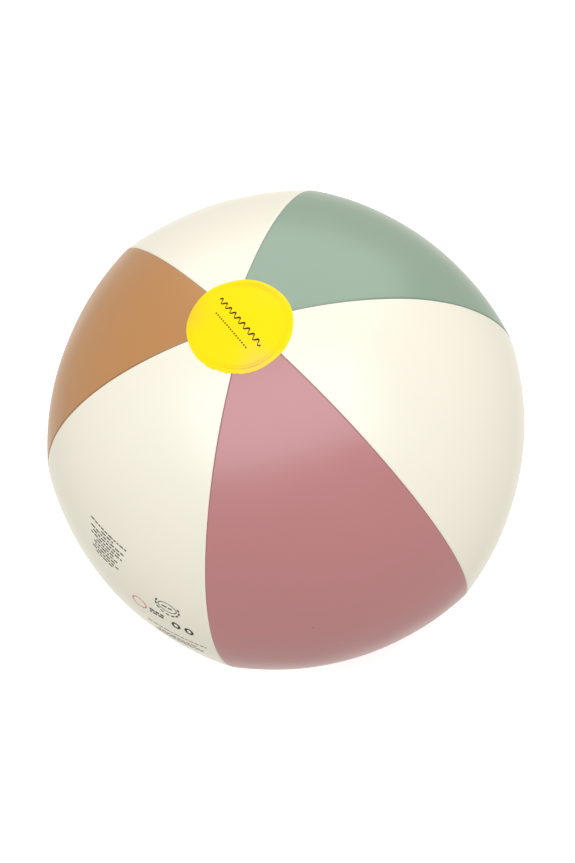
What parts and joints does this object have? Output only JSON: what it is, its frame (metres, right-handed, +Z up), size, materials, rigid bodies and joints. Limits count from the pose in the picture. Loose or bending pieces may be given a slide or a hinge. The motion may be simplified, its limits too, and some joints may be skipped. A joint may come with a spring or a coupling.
{
  "type": "inflatable beach ball",
  "caption": "Inflated beach ball of welded coloured film gores with round end caps on the poles and a push-in blow-up valve with a hinged plug.",
  "frame": {"origin": "centre of the ball, at the middle of its bounding box with the valve pushed in", "axes": "+Z up the polar axis through the top cap (longest); -Y through the middle of the rose gore; +Y (shortest) out through the valve in the middle of the back cream gore"},
  "size_m": [0.3372, 0.33, 0.3466],
  "materials": {
    "rose_film": "glossy soft PVC film, dusty rose",
    "cream_film": "glossy soft PVC film, warm cream",
    "sage_film": "glossy soft PVC film, pale sage green",
    "terracotta_film": "glossy soft PVC film, muted terracotta",
    "yellow_film": "glossy soft PVC film, bright yellow, slightly see-through",
    "clear_vinyl": "soft moulded vinyl, milky clear"
  },
  "bodies": {
    "ball": {"rose_panel": "rose_film", "cream_panel_right": "cream_film", "sage_panel": "sage_film", "cream_panel_back": "cream_film", "terracotta_panel": "terracotta_film", "cream_panel_left": "cream_film", "top_cap": "yellow_film", "bottom_cap": "yellow_film", "valve_flange": "clear_vinyl", "valve_skirt": "clear_vinyl"},
    "stem": {"valve_stem": "clear_vinyl", "plug_strap": "clear_vinyl", "flap_hinge": "clear_vinyl"},
    "plug": {"valve_plug": "clear_vinyl"},
    "flap": {"check_flap": "clear_vinyl"}
  },
  "joints": [
    {"name": "valve_pop", "type": "slide", "parent": "ball", "child": "stem", "axis": [0, 1, 0], "range_m": [0, 0.02], "deforming": ["valve_skirt"]},
    {"name": "plug_flip", "type": "hinge", "parent": "stem", "child": "plug", "pos_m": [0, 0.16275, -0.0085], "axis": [-1, 0, 0], "range_deg": [0, 120], "deforming": ["plug_strap"]},
    {"name": "check_flap_swing", "type": "hinge", "parent": "stem", "child": "flap", "pos_m": [0, 0.1501, 0.005], "axis": [-1, 0, 0], "range_deg": [0, 60], "deforming": ["flap_hinge"]}
  ]
}
